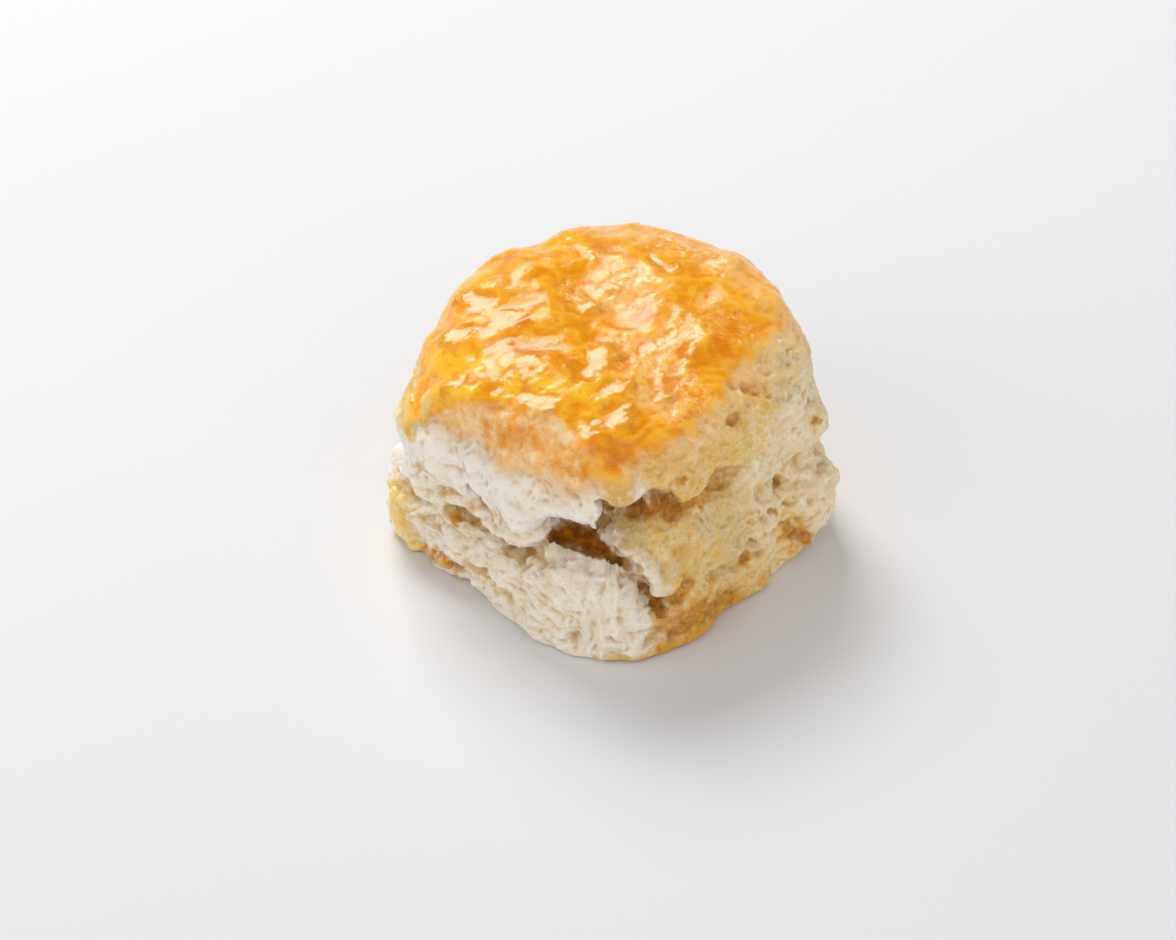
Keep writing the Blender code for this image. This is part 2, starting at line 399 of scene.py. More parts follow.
PIT_DEPTH = 0.7
print(len(TEARS), "torn places and", len(BLOCK_GROOVES + TAN_PITS), "grooves and pits")

# %% [markdown]
# ## Mounds
#
# Rising dough bulges between its tears: the nose, the chin below it, the lobe at the left and the
# block at the foot each stand a millimetre or two proud of the solid. Along the rim of the dome
# small mounds break the even curve, since an outline is the first thing the eye reads.

# %% Strokes for the mounds
NOSE_BUMP = [(496, 416, 5.5), (512, 420, 5.5)]
RIM_BUMP = [(440, 398, 4.6), (458, 398, 5.0), (478, 396, 4.6)]
DRIP_BUMP = [(598, 446, 5.0), (622, 438, 5.0)]
CHIN = [(545, 462, 4.5), (590, 478, 5.0), (622, 478, 4.0)]
LOBE_MOUND = [(496, 470, 5.0), (508, 500, 6.0), (520, 522, 5.0)]
LEFT_MOUND = [(458, 444, 3.6), (440, 450, 5.0), (440, 468, 4.0)]
BLOCK_MOUND = [(608, 580, 4.5), (612, 632, 5.5)]
LOW_LEFT_MOUND = [(440, 540, 4.0), (480, 560, 3.5), (530, 575, 4.0)]
RIGHT_MOUNDS = [[(640, 530, 4.0), (655, 540, 4.5)], [(762, 470, 6.0), (770, 500, 5.0)],
                [(690, 450, 5.0)], [(655, 480, 4.5)], [(816, 410, 3.5)], [(818, 480, 4.5)],
                [(758, 562, 5.0)], [(650, 575, 2.8)], [(700, 540, 5.0)]]
RIM_MOUNDS = [[(520, 252, 4.0)], [(668, 228, 5.0), (700, 241, 5.0)], [(735, 264, 4.0)],
              [(772, 300, 4.0)]]

MOUNDS = (
    (NOSE_BUMP, 1.4), (RIM_BUMP, 2.2), (DRIP_BUMP, 1.5), (CHIN, 1.0), (LOBE_MOUND, 1.5),
    (LEFT_MOUND, 0.7), (BLOCK_MOUND, 0.9), (LOW_LEFT_MOUND, 0.5),
)
SMALL_RISE = 0.7
print(len(MOUNDS), "large and", len(RIGHT_MOUNDS + RIM_MOUNDS), "small mounds")

# %% [markdown]
# ## Press and raise
#
# Every stroke finds its place on the skin as it is before the first one, so their order doesn't
# move them. The foot is kept at or above floor level. A second, finer remesh evens out the skin
# that the brushes stretched, and closes it where a lip folded over.

# %% Sculpt the dough
skin = Skin(dough)
points, normals = read_skin(dough)
for path, depth, lift in TEARS:
    points = carve(points, normals, skin, path, depth, lift=lift, sharp=0.4)
for path in BLOCK_GROOVES + TAN_PITS:
    points = carve(points, normals, skin, path, PIT_DEPTH, ragged=0.7, sharp=0.9)
for path, rise in MOUNDS:
    points = carve(points, normals, skin, path, -rise, ragged=0.6, sharp=1.0)
for path in RIGHT_MOUNDS + RIM_MOUNDS:
    points = carve(points, normals, skin, path, -SMALL_RISE, ragged=0.8, sharp=1.0)
points[:, 2] = np.maximum(points[:, 2], 0.0)
write_skin(dough, points)
apply_modifier(dough, "REMESH", mode="VOXEL", voxel_size=VOXEL)
apply_modifier(dough, "SMOOTH", factor=0.5, iterations=2)
print("torn skin:", len(dough.data.vertices), "points")

# %% [markdown]
# ## Where the crust ends
#
# The crust is the part that the oven's air browned. Its lower edge runs round the biscuit below
# the rim of the dome: it is given where the camera sees it, and by compass and height behind.
# The butter has an edge of its own, because it left a dry patch on the nose.

# %% Edges of crust and butter
CRUST_EDGE = [(409, 424), (426, 416), (445, 420), (470, 430), (484, 445), (503, 460), (530, 470),
              (560, 482), (590, 488), (606, 488), (622, 484), (642, 462), (683, 450), (712, 433),
              (738, 402), (764, 360), (780, 338)]
CRUST_EDGE_BEHIND = [(62, 18.0), (90, 16.0), (120, 15.0), (150, 15.0), (180, 15.0), (210, 13.0)]
BUTTER_EDGE = [(409, 424), (426, 421), (445, 416), (470, 411), (500, 408), (520, 414), (545, 420),
               (562, 430), (580, 446), (600, 468), (620, 474), (642, 457), (683, 444), (710, 424),
               (734, 394), (756, 362), (775, 345)]
BUTTER_EDGE_BEHIND = [(60, 18.5), (90, 17.5), (120, 16.5), (150, 16.5), (180, 16.5), (210, 15.0)]
SLOPE = 0.6


def inwardness(points):
    """How far in and up a point lies: it falls steadily from the middle of the dome to the foot."""
    return points[..., 2] - SLOPE * np.hypot(points[..., 0], points[..., 1])


def edge_round(skin, seen_edge, edge_behind):
    """The inwardness of an edge that runs round the biscuit, as a function of compass direction."""
    places = np.array([skin.seen(pixel) for pixel in seen_edge])
    turns = np.degrees(np.arctan2(places[:, 1], places[:, 0])) % 360
    stops = sorted(list(zip(turns, inwardness(places))) + edge_behind)
    return lambda compass: np.interp(compass, *zip(*stops), period=360)


# %% Crust and flank
skin = Skin(dough)
crust_edge = edge_round(skin, CRUST_EDGE, CRUST_EDGE_BEHIND)
butter_edge = edge_round(skin, BUTTER_EDGE, BUTTER_EDGE_BEHIND)
base, normals = read_skin(dough)
compass = np.degrees(np.arctan2(base[:, 1], base[:, 0]))
inward = inwardness(base)
above_crust = (inward - crust_edge(compass) + 1.5 * waves(base, 6.0, shift=3.0)
               + 0.7 * waves(base, 2.5, shift=4.0))
above_crust += 0.6 * waves(base, 1.1, shift=7.0)
above_butter = (inward - butter_edge(compass) + 1.0 * waves(base, 4.0, shift=9.0)
                + 0.6 * waves(base, 1.8, shift=10.0))
right_side = ease(compass, -38.0, -20.0) * (1.0 - ease(compass, 70.0, 100.0))
above_crust += right_side * (1.6 * waves(base, 3.4, shift=5.0) + 1.0 * waves(base, 1.3, shift=6.0))
crust = ease(above_crust / (1.0 + right_side), -2.4, 2.0)
buttered = ease(above_butter, -0.8, 1.4)
soaked_in = ease(above_butter, -0.4, 2.2)
flank = 1.0 - crust
print("crust covers", round(float(crust.mean()) * 100), "% of the points")

# %% [markdown]
# ## Kinds of relief
#
# Each kind of skin has its own relief, worked out from what made it. The crust wrinkled into
# ridges 2 to 4 mm apart as it dried. The flanks show thin flat flakes, pores where gas broke out,
# and the stretch marks of the rising dough. Each is a height in millimetres, and is later moved
# along the skin's normal, because a bump in the material would leave the outline smooth.

# %% Relief of crust and crumb
def warped(points, size, amount, shift=0.0):
    """The points pushed about by soft noise: a pattern read from them loses its regularity."""
    pushes = [waves(points, size, shift=shift + step) for step in (0, 31, 57)]
    return points + amount * np.stack(pushes, axis=1)


def ridges(points, long, wide=None, tall=None, shift=0.0, turn=0.0):
    """Sharp ridges with rounded hollows between them, about zero on average."""
    return 0.35 - np.abs(waves(points, long, wide, tall, shift, turn))


def crust_relief(points):
    """Dried crust: long bent wrinkles, short ones between them, and a soft swell under both."""
    bent = warped(points, 5.0, 1.4, 110.0)
    wrinkles = (0.34 * ridges(bent, 7.0, 3.0, 5.0, shift=1.0, turn=75)
                + 0.15 * ridges(bent, 3.0, 1.7, 2.4, shift=5.0, turn=50))
    swell = 0.50 * waves(points, 8.0, shift=8.0)
    return wrinkles + swell + 0.16 * waves(bent, 3.6, shift=11.0) + 0.05 * waves(bent, 1.2, shift=6.0)


def crumb_relief(points):
    """Torn crumb: soft lumps, thin walls between shallow pits, and here and there an open pore."""
    bent = warped(points, 3.0, 0.9, 50.0)
    lumps = (0.55 * waves(points, 9.0, tall=6.0, shift=18.0)
             + 0.35 * waves(points, 3.4, tall=2.4, shift=28.0))
    walls = 0.40 * ridges(bent, 3.0, tall=2.0, shift=12.0) + 0.25 * ridges(bent, 1.4, tall=1.1, shift=15.0)
    grains = 0.10 * waves(points, 0.8, shift=19.0)
    pores = ease(waves(bent, 3.2, tall=1.9, shift=40.0), 0.50, 0.68)
    return lumps + walls + grains - 0.6 * pores


# %% Relief of flakes and fibres
def flake_relief(points, thickness, shift=0.0):
    """Leaves of dough, one above the other, each with its own ragged reach."""
    bend = 1.6 * waves(points, 14.0, shift=20.0 + shift) + 0.7 * waves(points, 3.0, shift=30.0 + shift)
    height = (points[:, 2] + bend) / thickness
    leaf = np.floor(height)
    part = height - leaf
    spots = np.stack([points[:, 0] / 4.0, points[:, 1] / 4.0, leaf * 5.7 + shift], axis=1)
    reach = NOISE_GAIN * np.array([noise.noise(spot) for spot in spots.tolist()])
    return (0.2 + reach) * ease(part, 0.0, 0.3) * ease(1.0 - part, 0.0, 0.5)


def fibre_relief(points, across, tall, shift=0.0):
    """Ridges that run up the skin, as where dough is torn or stretched."""
    around = np.radians(compass) * 36.0 + 1.6 * waves(points, 6.0, shift=90.0)
    grid = np.stack([around / across, points[:, 2] / tall, np.full(len(points), 3.3 + shift)], axis=1)
    return 0.3 - NOISE_GAIN * np.abs(np.array([noise.noise(spot) for spot in grid.tolist()]))


def region(points, path, ragged=2.0, shift=0.0):
    """A part of the skin round a stroke, with a soft ragged edge."""
    return ease(stroke(points, skin, path, ragged, shift), 0.0, 0.5)


# %% [markdown]
# ## Which relief goes where
#
# The dome is crust, with a few grainy places. The left flank kept the flour it was rolled in and
# is only dimpled. The block at the foot tore upwards and shows fibres. All the rest of the
# flanks is open crumb, with flakes low down, and finer and busier towards the right front.

# %% Lay the relief
FLOURY = [(396, 455, 6), (430, 455, 8), (470, 460, 10), (500, 490, 12), (540, 505, 11), (575, 505, 7),
          (600, 500, 5)]
BLOCK = [(596, 572, 6.5), (602, 600, 8), (594, 640, 7)]
GRAINY = [[(612, 345, 5.0), (650, 375, 8.0), (685, 400, 7.0)], [(575, 290, 4.0), (640, 285, 6.0)],
          [(520, 372, 3.0)], [(690, 330, 5.0), (735, 330, 6.0)], [(650, 240, 5.0), (720, 262, 5.0)]]

low = 1.0 - ease(base[:, 2], 14.0, 20.0)
front_right = right_side * (1.0 - ease(compass, -5.0, 15.0))
floury = region(base, FLOURY)
block = region(base, BLOCK)
grainy_glints = np.max([region(base, path, 1.5, 46.0) for path in GRAINY], axis=0)
torn = flank * (1.0 - 0.65 * floury) * (1.0 - block)
lumpy = warped(base, 4.0, 1.2, 130.0)
dimples = 0.45 * ridges(lumpy, 4.5, tall=3.0, shift=21.0) + 0.28 * ridges(lumpy, 1.6, shift=22.0)
dimples += 0.6 * waves(base, 5.0, shift=23.0) + 0.10 * waves(base, 0.9, shift=26.0)
tears = 1.1 * fibre_relief(base, 3.2, 12.0, 5.0) + 0.4 * fibre_relief(base, 1.2, 7.0)
tears += 0.35 * waves(base, 3.0, tall=6.0, shift=24.0) + 0.35 * ridges(lumpy, 2.2, shift=25.0)
grains = 0.34 * ridges(warped(base, 2.0, 0.6, 120.0), 2.0, shift=47.0)
flakes = 0.8 * flake_relief(base, 2.6) + 0.4 * flake_relief(base, 1.3, 7.0)

relief = crust * (crust_relief(base) + grainy_glints * grains)
relief += torn * (0.65 * crumb_relief(base) + 0.12 * front_right * ridges(base, 1.1, shift=27.0))
relief += torn * right_side * 0.45 * ridges(lumpy, 2.8, tall=2.2, shift=28.0)
relief += torn * (1.0 - 0.7 * front_right) * low * flakes
relief += flank * floury * dimples + flank * block * tears
print("relief from", relief.min().round(2), "to", relief.max().round(2), "mm")

# %% [markdown]
# ## Where the butter ran
#
# The butter ran over the crust's edge in a few places, stood in a bead at the left corner and
# gathered along the foot on the right. Each run is a stroke again, and its nearness is kept as
# a number for every point of the skin, because relief, film and paint all need it.

# %% Paths of butter
NOSE_DRIP = [(596, 440, 5.0), (608, 465, 4.4), (615, 485, 3.8), (619, 500, 3.2)]
LEFT_DRIPS = [[(411, 385, 2.6), (409, 408, 2.0), (409, 430, 1.6)], [(428, 395, 2.4), (425, 418, 1.6)]]
LEFT_BEAD = [(394, 490, 1.8), (394, 515, 3.0), (402, 538, 3.2), (420, 551, 3.0), (436, 557, 2.8),
             (450, 560, 1.8)]
FOOT_BEAD = [(596, 667, 0.8), (629, 665, 1.5), (664, 655, 2.3), (700, 640, 2.8), (722, 622, 2.6),
             (745, 600, 2.0), (767, 575, 1.4)]

drips = np.zeros(len(base))
for path in [NOSE_DRIP] + LEFT_DRIPS:
    drips = np.maximum(drips, stroke(base, skin, path, 0.5, 64.0))
foot_bead = stroke(base, skin, FOOT_BEAD, 1.0, 64.0)
beads = np.maximum(stroke(base, skin, LEFT_BEAD, 0.6, 64.0), foot_bead)
runs = np.maximum(drips, beads)
print("butter ran over", round(float((runs > 0.0).mean()) * 100, 1), "% of the points")

# %% [markdown]
# ## Wet facets on the crust
#
# Where butter stands in a hollow its surface is nearly flat, and the flats that face half-way
# between the window and the eye mirror the window. Each one below was seen as a bright patch.
# The skin inside its stroke is laid on a plane that is turned most of the way to that direction.

# %% Facets
FACETS = [[(468, 296, 2.8), (480, 306, 3.2)], [(444, 342, 2.0), (466, 337, 2.4)],
          [(486, 332, 2.2), (508, 317, 2.2)], [(498, 346, 2.4)], [(450, 387, 2.0), (472, 382, 2.0)],
          [(508, 358, 2.2)], [(524, 366, 2.2), (530, 377, 2.0)], [(580, 374, 2.4), (608, 356, 3.2)],
          [(570, 311, 1.8), (592, 306, 1.8)], [(588, 295, 1.5), (610, 291, 1.5)], [(594, 259, 1.6)],
          [(524, 399, 2.6), (548, 405, 2.6)], [(575, 423, 1.8)], [(602, 427, 3.0), (618, 417, 4.0)],
          [(640, 352, 1.8), (655, 345, 1.8)], [(604, 393, 1.8), (628, 389, 1.8)],
          [(655, 262, 1.8), (668, 270, 1.6)], [(655, 380, 2.0), (662, 395, 2.0)], [(690, 350, 1.4)]]
TURN_BY = 0.95
STEP_LIMIT = 0.8

window_at = compass_point(WINDOW["compass"], math.cos(math.radians(WINDOW["rise"])),
                          math.sin(math.radians(WINDOW["rise"])))
flat = np.zeros(len(base))
for path in FACETS:
    nearness = stroke(base, skin, path, 1.4, 44.0)
    inside = nearness > 0.0
    middle = (base + normals * relief[:, None])[inside].mean(axis=0)
    outward = Vector(normals[inside].mean(axis=0)).normalized()
    eye = (camera.location / MM - Vector(middle)).normalized()
    mirror = outward.lerp((window_at + eye).normalized(), TURN_BY).normalized()
    plane = ((middle - base) @ mirror) / np.maximum(normals @ np.array(mirror), 0.5)
    share = ease(nearness, 0.0, 0.55)
    ripple = 0.12 * waves(base, 2.2, shift=45.0) + 0.07 * waves(base, 0.9, shift=48.0)
    relief = relief + share * (np.clip(plane + 0.05, -STEP_LIMIT, STEP_LIMIT) + ripple - relief)
    flat = np.maximum(flat, share)
    print("facet turned by", round(math.degrees(outward.angle(mirror))), "degrees")
foot = ease(base[:, 2], 0.2, 1.2)
relief *= foot * (1.0 - 0.8 * ease(runs, 0.0, 0.3))

# %% [markdown]
# ## Melted butter
#
# Melted butter wets the whole crust in a thin sheet. Surface tension rounds it off, so its
# surface is the crust's relief averaged over a little of the skin around each point, and in the
# hollows it stands up to a wider average. It is made from the same skin as a piece of its own.
# At its edge it dives under the dough, and where it ran down, a stroke makes it thicker.

# %% Butter level
DRIP_RISE = 0.42
BEAD_RISE = 0.35
SHEET = 0.12
SHEET_EDGE = 0.35
POOL_PASSES = 20
POOL_RISE = 0.02

edges = np.empty(len(dough.data.edges) * 2, dtype=int)
dough.data.edges.foreach_get("vertices", edges)
start, end = edges.reshape(-1, 2).T
neighbours = np.bincount(edges, minlength=len(base))


def averaged(values, passes):
    """Each point's value replaced, some times over, by the mean of its neighbours' values."""
    for _ in range(passes):
        total = np.bincount(start, values[end], len(base)) + np.bincount(end, values[start], len(base))
        values = total / neighbours
    return values


covered = np.maximum(buttered, ease(runs, 0.0, 0.4)) * ease(base[:, 2], 0.0, 0.6)
thin = averaged(relief, 1)
level = averaged(relief, POOL_PASSES) + POOL_RISE - 0.12 * grainy_glints + DRIP_RISE * ease(drips, 0.0, 0.9)
level += BEAD_RISE * foot * ease(beads, 0.1, 1.0)
depth = level - thin
sheet = (level + thin + np.sqrt(depth * depth + 0.01)) / 2 + SHEET
sheet = sheet - (SHEET + SHEET_EDGE) * (1.0 - covered)
print("butter covers", round(float(covered.mean()) * 100), "% of the points")

# %% [markdown]
# ## Hollows and folds
#
# Hollows look darker and warmer on the real crumb: light bounces about in them, and butter
# collects there. With the relief in place, each point is compared with the mean of the skin
# around it, narrowly for creases and widely for recesses. That gives masks which fit the shape,
# and the coats paint shade with them: darker, warmer colour in recesses, creases and folds.

# %% Measure the hollows
def hollowness(points, normals, passes):
    """How far each point lies below the mean of the skin around it, in millimetres."""
    calm_skin = np.stack([averaged(points[:, axis], passes) for axis in range(3)], axis=1)
    return ((calm_skin - points) * normals).sum(axis=1)


write_skin(dough, base + normals * relief[:, None])
shaped, shaped_normals = read_skin(dough)
recess_shade = hollowness(shaped, shaped_normals, 60)
crease_shade = hollowness(shaped, shaped_normals, 8)
fold_shade = hollowness(shaped, shaped_normals, 24)
print("hollowness percentiles:", np.percentile(recess_shade, (1, 10, 50, 90, 99)).round(2))
print("creases percentiles:", np.percentile(crease_shade, (1, 10, 50, 90, 99)).round(2))

# %% [markdown]
# ## Places with a colour of their own
#
# No two square centimetres of a biscuit baked alike, so the larger spots of colour are painted,
# each list with one brush. CARAMEL and TOASTED are what heat and butter browned; the list after
# them is painted shade, under the nose's lip and along the floor of the cavity. SOAKED to SANDY
# are the crumb's own, but for one list of painted shade inside the cavity, and BRIGHT to HAZY are
# how thick the butter stands on the crust, HAZY with a painted sheen of reflected light.

# %% Brush strokes of paint
CARAMEL = [[(510, 345, 3.0), (523, 350, 4.0), (545, 352, 4.0), (566, 362, 3.0), (590, 370, 2.0)],
           [(524, 322, 2.5)], [(722, 345, 4.0), (740, 330, 5.0)], [(690, 350, 4.0), (702, 356, 4.0)],
           [(640, 320, 4.0)], [(515, 258, 3.0)], [(588, 240, 2.5), (611, 251, 3.0)],
           [(668, 385, 3.0), (690, 372, 3.0)], [(582, 438, 2.4), (604, 446, 4.0), (618, 458, 3.2)],
           [(680, 436, 3.0)]]
TOASTED = [[(490, 410, 3.6), (510, 410, 4.2)], [(492, 434, 3.6), (515, 440, 4.4), (540, 438, 3.6)],
           [(562, 460, 4.4), (584, 469, 4.4)], [(592, 474, 3.0)], [(600, 480, 2.5)],
           [(640, 455, 4.0), (665, 445, 4.0)]]
# Painted shade under the nose's lip and along the floor of the cavity.
LIP_SHADE = [[(606, 508, 1.4), (618, 508, 2.0), (640, 507, 3.0), (656, 505, 3.8), (674, 507, 3.0)],
         [(560, 546, 1.4), (576, 551, 1.6), (594, 557, 1.4)]]
SOAKED = [[(650, 590, 2.2), (658, 602, 2.8), (656, 612, 2.0)], [(787, 532, 2.4), (806, 538, 3.0)],
          [(672, 628, 4.5), (698, 616, 5.0), (730, 604, 4.5)], [(664, 648, 2.6), (700, 636, 3.0)],
          [(676, 598, 2.4), (684, 584, 2.0)], [(683, 479, 1.6)], [(690, 503, 2.2), (706, 497, 2.2)],
          [(776, 480, 1.8)], [(754, 520, 1.2)], [(732, 421, 1.8)], [(771, 512, 1.2)],
          [(747, 388, 2.0), (757, 392, 2.0)], [(731, 384, 1.6)], [(813, 421, 1.6)], [(744, 563, 1.8)],
          [(456, 514, 1.0), (472, 524, 1.4)], [(424, 552, 2.0), (440, 558, 2.6), (452, 562, 2.0)]]
TANNED = [[(456, 578, 1.4), (470, 589, 1.6)], [(496, 585, 1.5), (510, 598, 1.6)],
          [(428, 519, 2.2), (436, 523, 2.0)], [(468, 563, 1.4), (490, 577, 1.6)],
          [(508, 554, 1.4), (529, 567, 1.5)], [(536, 554, 1.3), (553, 567, 1.4)],
          [(622, 558, 1.4), (640, 570, 1.4)], [(452, 510, 2.4), (474, 524, 2.4)],
          [(442, 491, 1.8), (456, 494, 1.6)], [(650, 640, 2.4), (656, 620, 2.4)], [(478, 505, 2.0)],
          [(420, 470, 3.0)], [(715, 490, 3.0), (738, 470, 2.6)]]
YELLOWED = [[(668, 540, 6.0), (700, 562, 8.0), (692, 596, 8.0), (725, 604, 8.0), (752, 572, 6.0)],
            [(690, 470, 8.0), (735, 448, 9.0), (765, 410, 6.0)], [(655, 470, 5.0), (690, 500, 6.0)],
            [(396, 490, 4.0), (398, 520, 6.0), (404, 546, 5.0)], [(790, 520, 5.0), (800, 560, 5.0)]]
# Painted shade inside the cavity.
CAVITY_SHADE = [[(552, 536, 2.0), (573, 534, 3.6), (590, 540, 3.4), (604, 552, 2.2), (620, 562, 1.0)]]
SANDY = [[(608, 516, 3.0), (628, 522, 4.5), (655, 522, 5.0), (680, 515, 4.0)],
         [(628, 538, 4.0), (648, 545, 3.5)], [(716, 478, 4.0)]]
BRIGHT = [[(444, 298, 3.5), (462, 284, 4.0), (485, 272, 3.5)],
          [(530, 254, 3.0), (548, 246, 3.5), (574, 240, 3.0)],
          [(428, 362, 3.5), (452, 366, 4.5), (480, 362, 4.0)],
          [(512, 390, 3.0), (545, 394, 4.0), (585, 396, 3.5)], [(588, 415, 3.0)],
          [(440, 392, 3.0), (470, 388, 3.0)]]
PALE = [[(400, 378, 2.5), (406, 402, 3.0), (409, 430, 2.2)], [(426, 398, 2.2), (424, 418, 1.6)],
        [(394, 488, 2.0), (394, 515, 3.4), (402, 538, 3.4), (418, 550, 2.6)]]
# Painted sheen: where a pale haze of reflected light lies on the crust.
HAZY = [[(620, 232, 6.0), (680, 236, 7.0), (740, 270, 6.0), (778, 305, 5.0)],
        [(600, 300, 6.0), (640, 285, 6.0)], [(712, 300, 4.0)], [(650, 345, 5.0), (660, 400, 6.0)],
        [(420, 330, 3.5)]]

# %% [markdown]
# ## Paint
#
# Paint is stored on the points as one number for each kind, from 0 to 1, under its own name.
# Blender calls that an attribute. A material can read it, and it follows the skin wherever it
# goes, where a picture wrapped round the piece would need an unfolded map.

# %% Store the paint
def painted(paths, ragged=0.8, shift=0.0):
    """Paint some strokes, each a list of (pixel across, pixel down, radius in millimetres)."""
    amount = np.zeros(len(base))
    for path in paths:
        amount = np.maximum(amount, ease(stroke(base, skin, path, ragged, shift), 0.0, 0.7))
    return amount


hazy_sheen = painted(HAZY, 1.6, 84.0)
standing = ease(depth, 0.0, 0.16) * (1.0 - hazy_sheen)
paint = {
    "crust": crust,
    "wet": np.maximum(soaked_in, ease(runs, 0.1, 0.7)),
    "flat": flat,
    "grainy_glints": grainy_glints,
    "mirror": np.maximum(np.maximum(flat, standing) * (1.0 - 0.9 * grainy_glints), ease(runs, 0.0, 0.3)),
    "flour": np.maximum(floury, 0.2 * block) * flank,
    "bead": np.maximum(ease(foot_bead, 0.0, 0.5), 0.95 * ease(drips, 0.0, 0.6) * flank),
    # painted shade: how deep a point lies in a recess, crease or fold
    "recess_shade": ease(recess_shade, 0.15, 1.2),
    "crease_shade": ease(crease_shade, 0.02, 0.22),
    "fold_shade": ease(fold_shade, -0.18, 0.22),
    "fade": ease(above_crust / (1.0 + right_side), -7.5, 0.5),
    "bright": painted(BRIGHT, 1.2, 80.0),
    "pale": painted(PALE, 0.8, 82.0),
    "hazy_sheen": hazy_sheen,
    "tan": painted(TANNED, 1.0, 86.0),
    # painted shade: the whole right front is darkened as well as its sandy patches
    "sandy_and_shade": np.maximum(painted(SANDY, 1.4, 88.0), 0.65 * front_right),
    "caramel": painted(CARAMEL, 1.0, 70.0),
    "toast": painted(TOASTED, 1.0, 72.0),
    "soak": painted(SOAKED, 1.0, 74.0),
    "lip_shade": painted(LIP_SHADE, 1.0, 75.0),
    "cavity_shade": painted(CAVITY_SHADE, 0.4, 78.0),
    "yellow": np.maximum(painted(YELLOWED, 1.5, 76.0), 0.4 * right_side),
}
for name, amount in paint.items():
    layer = dough.data.attributes.new(name, "FLOAT", "POINT")
    layer.data.foreach_set("value", amount.astype(np.float32))
print(len(paint), "layers of paint")

# %% [markdown]
# ## The butter as a piece
#
# The film is a copy of the dough's skin, moved to the butter's level, with every dry point taken
# away. The rule for dry is averaged, so that the edge has no crumbs and no single corners left,
# and it keeps the film off the foot. Solidify then gives the sheet an inner side and closes it.

# %% Butter film
FILM_THICKNESS = 0.5 * MM

film = bpy.data.objects.new("melted_butter", dough.data.copy())
scene.collection.objects.link(film)
write_skin(film, base + normals * sheet[:, None])
dry = (averaged(covered, 4) < 0.02) | (base[:, 2] < 0.3)
only(film)
bpy.ops.object.mode_set(mode="EDIT")
bpy.ops.mesh.select_mode(type="VERT")
bpy.ops.mesh.select_all(action="DESELECT")
bpy.ops.object.mode_set(mode="OBJECT")
film.data.vertices.foreach_set("select", dry)
bpy.ops.object.mode_set(mode="EDIT")
bpy.ops.mesh.delete(type="VERT")
bpy.ops.mesh.select_all(action="SELECT")
bpy.ops.mesh.delete_loose()
bpy.ops.object.mode_set(mode="OBJECT")
apply_modifier(film, "SOLIDIFY", thickness=FILM_THICKNESS, offset=-1.0)
print("film:", len(film.data.polygons), "faces")

# %% [markdown]
# ## Thinning
#
# The fine voxels were needed for sculpting. Both pieces are now thinned to what a part may carry:
# Decimate merges points where the skin is nearly flat first, so the wrinkles keep their shape.

# %% Thin both pieces
TRIANGLES = 195000


def triangle_count(item):
    """How many triangles the faces of an object's mesh make."""
    return sum(len(face.vertices) - 2 for face in item.data.polygons)


for piece in (dough, film):
    piece.data.materials.clear()
    apply_modifier(piece, "DECIMATE", ratio=min(1.0, TRIANGLES / triangle_count(piece)))
    piece.data.shade_smooth()
    print(piece.name, "has", triangle_count(piece), "triangles")

# %% [markdown]
# ## Masks and coats
#
# A painter lays one thin coat over another, and so do these two functions. A mask says where a
# coat takes: it multiplies painted layers, mottling of a given grain in millimetres, and plain
# numbers. A list of coats is then laid on a ground colour from first to last.

# %% Masks and coats
def mask(tree, where, *parts):
    """The product of painted layers (a name), mottling (size, low, high) and plain numbers."""
    product = 1.0
    for part in parts:
        if isinstance(part, str):
            part = add_node(tree, "ShaderNodeAttribute", {"attribute_name": part}).outputs["Fac"]
        elif isinstance(part, tuple):
            size, low, high = part
            pattern = add_node(tree, "ShaderNodeTexNoise", Vector=where, Scale=1.0 / (size * MM),
                               Detail=4.0)
            part = add_node(tree, "ShaderNodeMapRange", Value=pattern.outputs["Fac"],
                            **{"From Min": low, "From Max": high}).outputs[0]
        product = add_node(tree, "ShaderNodeMath", {"operation": "MULTIPLY"}, i0=product,
                           i1=part).outputs[0]
    return product


def coats(tree, where, ground, layers):
    """Lay coats on a ground colour: each is a hex value or a colour socket, then its mask."""
    for colour, *parts in layers:
        if isinstance(colour, str):
            colour = linear(colour)
        ground = add_node(tree, "ShaderNodeMix", {"data_type": "RGBA"}, i0=mask(tree, where, *parts),
                          i6=ground, i7=colour).outputs[2]
    return ground


# %% [markdown]
# ## The colours of the skin
#
# Crumb is creamy white, because steam keeps it under 100 degrees. Crust browns, because it dries
# and gets hotter. Butter lets light deeper into both and makes them yellow, orange, then brown.
# The film is thinner than a fingernail and takes the colour of what lies under it, so the
# dough and the film share these coats and differ in their gloss. Some coats are painted light:
# shade in creases, folds and recesses, under the nose's lip and inside the cavity, shade over
# the right front, and pale glints and a haze of reflection on the crust.

